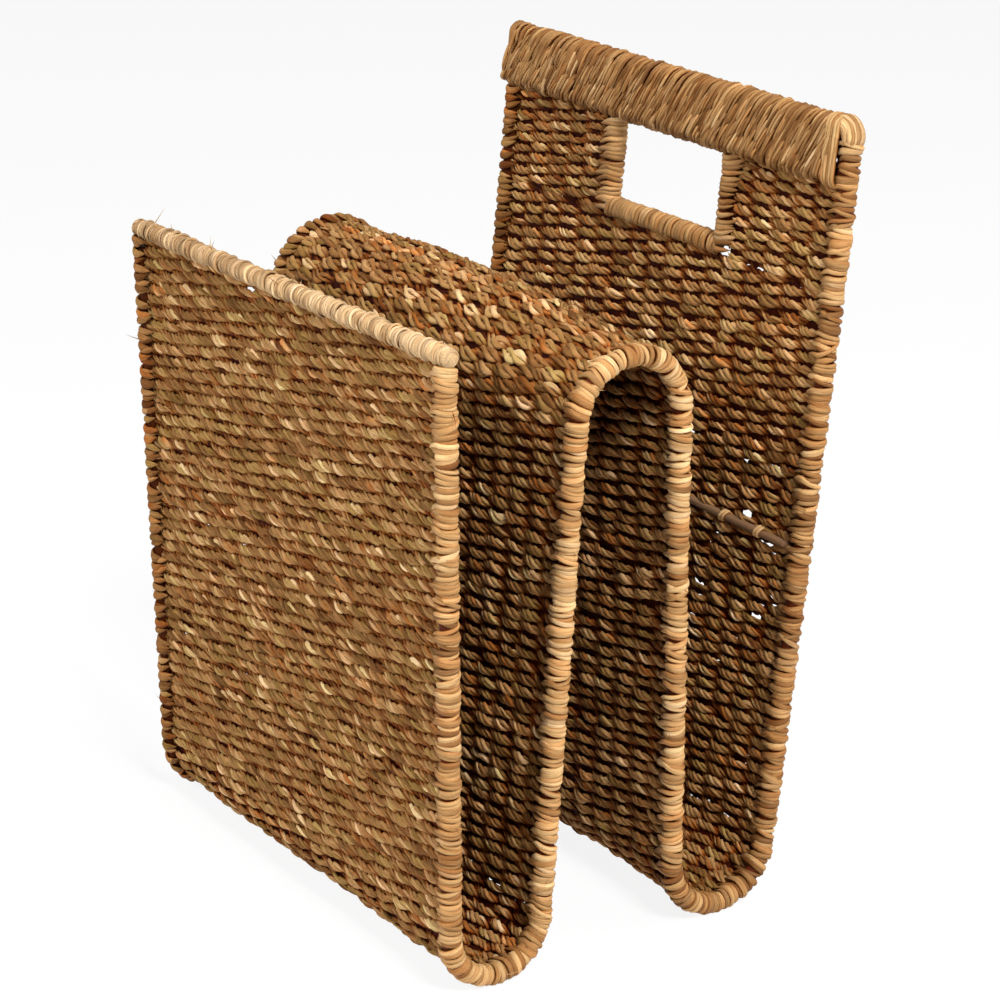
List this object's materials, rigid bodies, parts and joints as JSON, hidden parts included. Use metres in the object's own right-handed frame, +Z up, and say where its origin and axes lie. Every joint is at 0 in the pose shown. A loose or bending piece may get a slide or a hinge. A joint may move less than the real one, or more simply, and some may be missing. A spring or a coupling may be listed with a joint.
{
  "type": "magazine basket",
  "caption": "Woven seagrass sheet bent into a wave on a hidden wire frame, with open pockets for magazines and a hand hole.",
  "frame": {"origin": "centre of the footprint's bounding box, on the floor", "axes": "+Z up; X across the width, with the front panel facing -Y and the tall back panel at +Y"},
  "size_m": [0.308, 0.2632, 0.4369],
  "materials": {
    "seagrass_weave": "matt woven seagrass, tan to golden brown",
    "pale_binding": "satin pale golden seagrass strands, wound",
    "frame_rod": "satin dark lacquered wire",
    "cane_stick": "satin brown cane"
  },
  "bodies": {
    "root": {"front_panel_weave": "seagrass_weave", "front_bend_weave": "seagrass_weave", "hump_front_weave": "seagrass_weave", "hump_crest_weave": "seagrass_weave", "hump_back_weave": "seagrass_weave", "back_bend_weave": "seagrass_weave", "back_panel_weave": "seagrass_weave", "left_cheek_weave": "seagrass_weave", "right_cheek_weave": "seagrass_weave", "handle_band": "pale_binding", "left_post_binding": "pale_binding", "right_post_binding": "pale_binding", "sill_binding": "pale_binding", "stick_tie_1": "pale_binding", "stick_tie_2": "pale_binding", "front_rim_binding": "pale_binding", "left_front_binding": "pale_binding", "left_front_bend_binding": "pale_binding", "left_hump_front_binding": "pale_binding", "left_hump_crest_binding": "pale_binding", "left_hump_back_binding": "pale_binding", "left_back_bend_binding": "pale_binding", "left_back_binding": "pale_binding", "right_front_binding": "pale_binding", "right_front_bend_binding": "pale_binding", "right_hump_front_binding": "pale_binding", "right_hump_crest_binding": "pale_binding", "right_hump_back_binding": "pale_binding", "right_back_bend_binding": "pale_binding", "right_back_binding": "pale_binding", "back_top_rod": "frame_rod", "handle_lower_rod": "frame_rod", "sill_rod": "frame_rod", "left_post_rod": "frame_rod", "right_post_rod": "frame_rod", "left_side_rod": "frame_rod", "right_side_rod": "frame_rod", "front_top_rod": "frame_rod", "back_stick": "cane_stick"}
  },
  "joints": []
}
